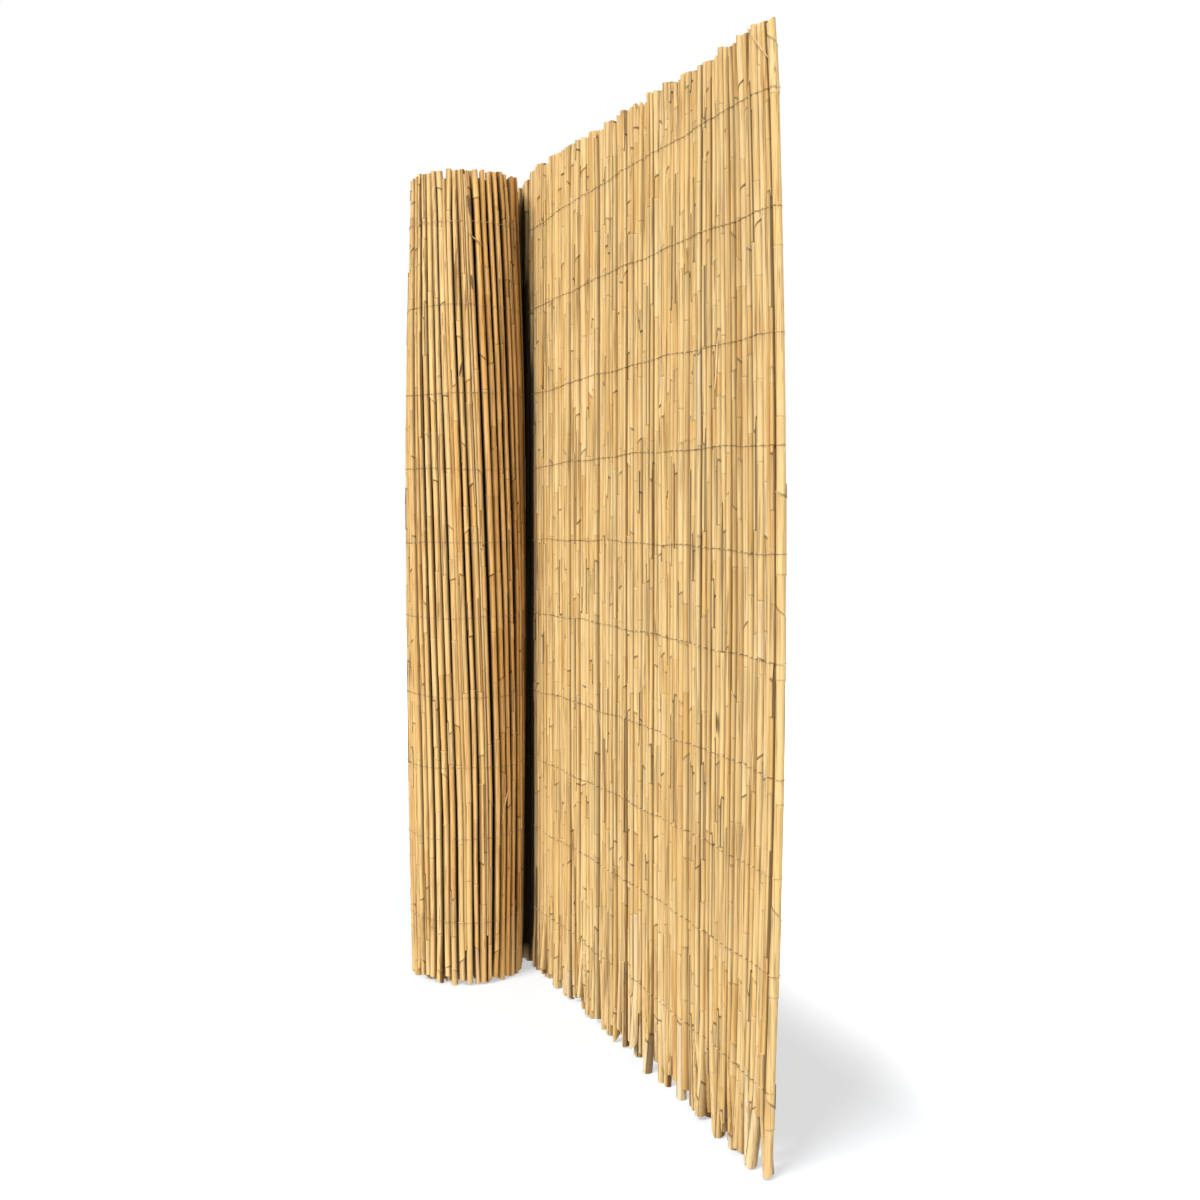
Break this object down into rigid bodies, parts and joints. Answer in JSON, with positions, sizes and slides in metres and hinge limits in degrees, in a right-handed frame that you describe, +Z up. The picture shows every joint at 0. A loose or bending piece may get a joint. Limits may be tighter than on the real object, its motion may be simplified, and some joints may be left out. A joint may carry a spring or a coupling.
{
  "type": "reed screen",
  "caption": "Partly unrolled reed mat standing on its cane ends: a spiral roll and a straight panel of round canes bound by rows of thin wire, used as garden screening.",
  "frame": {"origin": "centre of the footprint, on the floor that the canes stand on", "axes": "+Z up along the canes, +X along the panel from the roll to the free edge, +Y to the mat's back face"},
  "size_m": [0.6946, 0.1584, 0.9999],
  "materials": {
    "reed": "dry straw-coloured reed, satin, with streaks, stains and leaf sheaths",
    "wire": "thin dull galvanised binding wire"
  },
  "bodies": {
    "root": {"unrolled_panel": "reed", "rolled_turns": "reed", "front_wire_01": "wire", "front_wire_02": "wire", "front_wire_03": "wire", "front_wire_04": "wire", "front_wire_05": "wire", "front_wire_06": "wire", "front_wire_07": "wire", "front_wire_08": "wire", "front_wire_09": "wire", "front_wire_10": "wire", "back_wire_01": "wire", "back_wire_02": "wire", "back_wire_03": "wire", "back_wire_04": "wire", "back_wire_05": "wire", "back_wire_06": "wire", "back_wire_07": "wire", "back_wire_08": "wire", "back_wire_09": "wire", "back_wire_10": "wire"}
  },
  "joints": []
}
